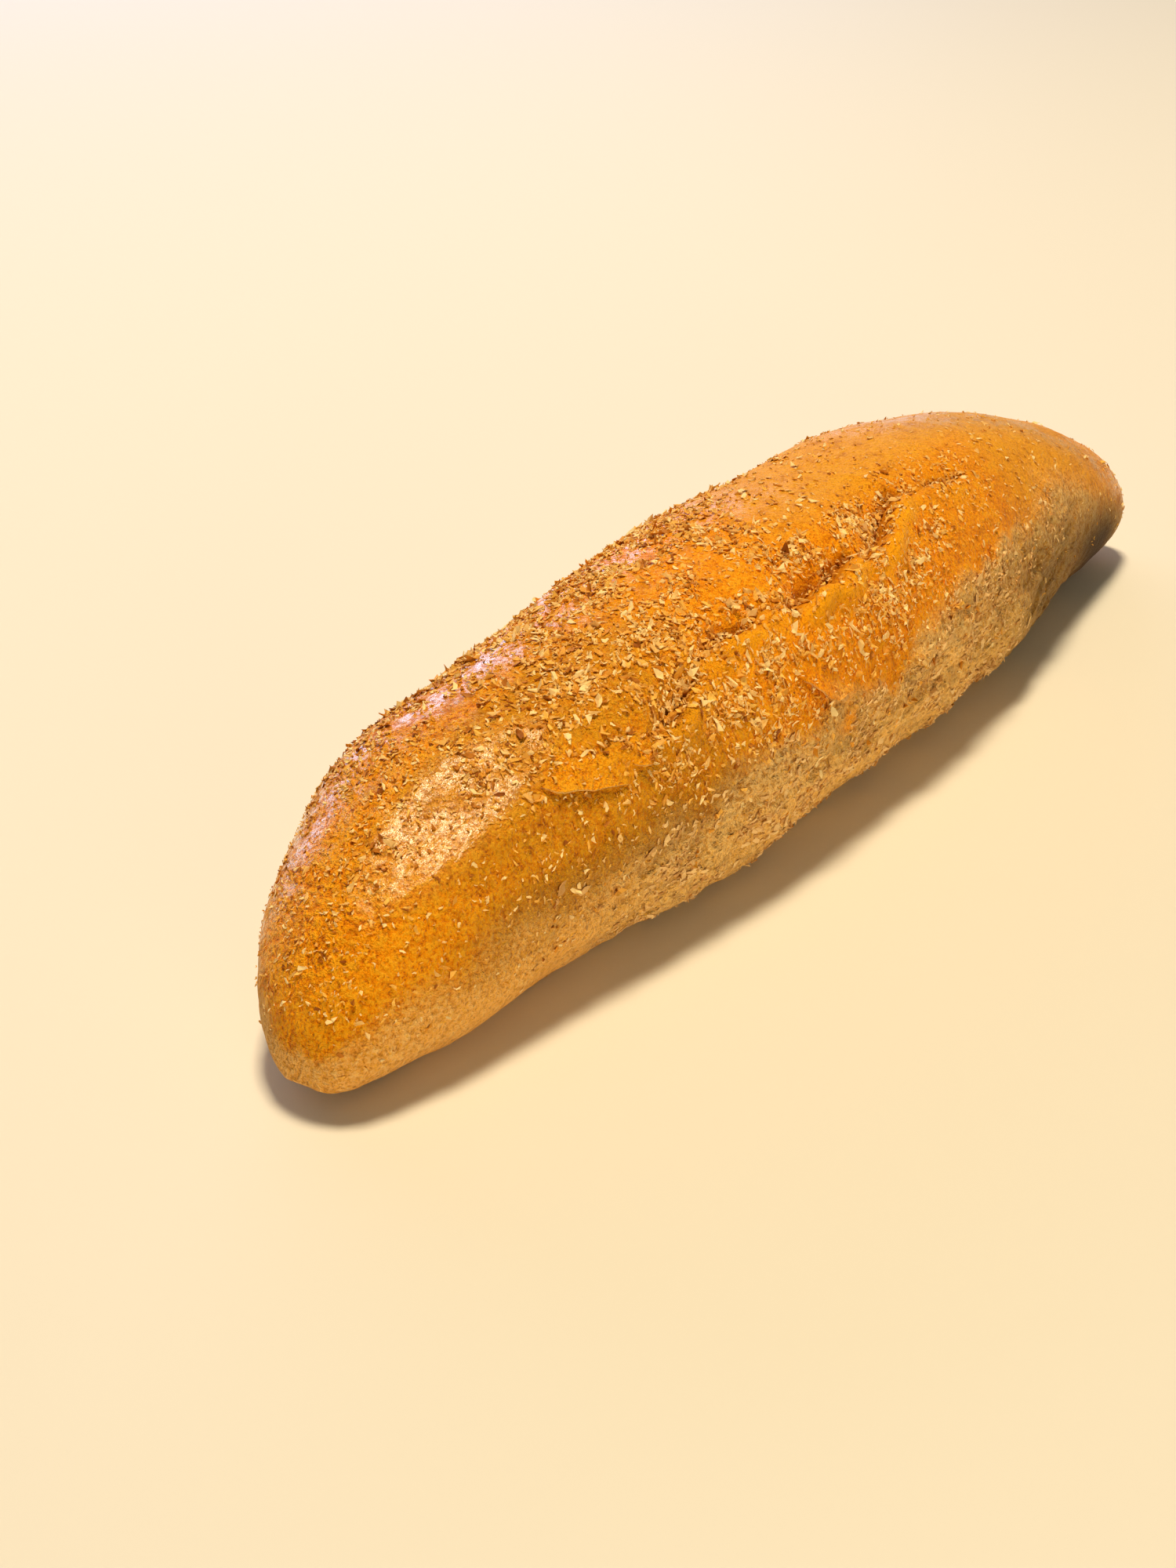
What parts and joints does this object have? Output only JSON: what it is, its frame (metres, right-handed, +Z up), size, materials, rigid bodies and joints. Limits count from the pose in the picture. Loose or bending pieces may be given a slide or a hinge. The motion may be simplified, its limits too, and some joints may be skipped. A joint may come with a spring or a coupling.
{
  "type": "bran bread",
  "caption": "Long soft bran bread with rounded ends, a flat base, a healed slash along its shoulder and coarse bran flakes on a browned crust.",
  "frame": {"origin": "on the surface the loaf rests on, under the middle of its box", "axes": "+X along the loaf towards its hooked end, +Z up from the base, -Y towards the torn pale side"},
  "size_m": [0.309, 0.0704, 0.0568],
  "materials": {
    "crust": "browned bread crust, satin on the smooth parts and matt where bran and torn crumb show"
  },
  "bodies": {
    "root": {"loaf": "crust"}
  },
  "joints": []
}
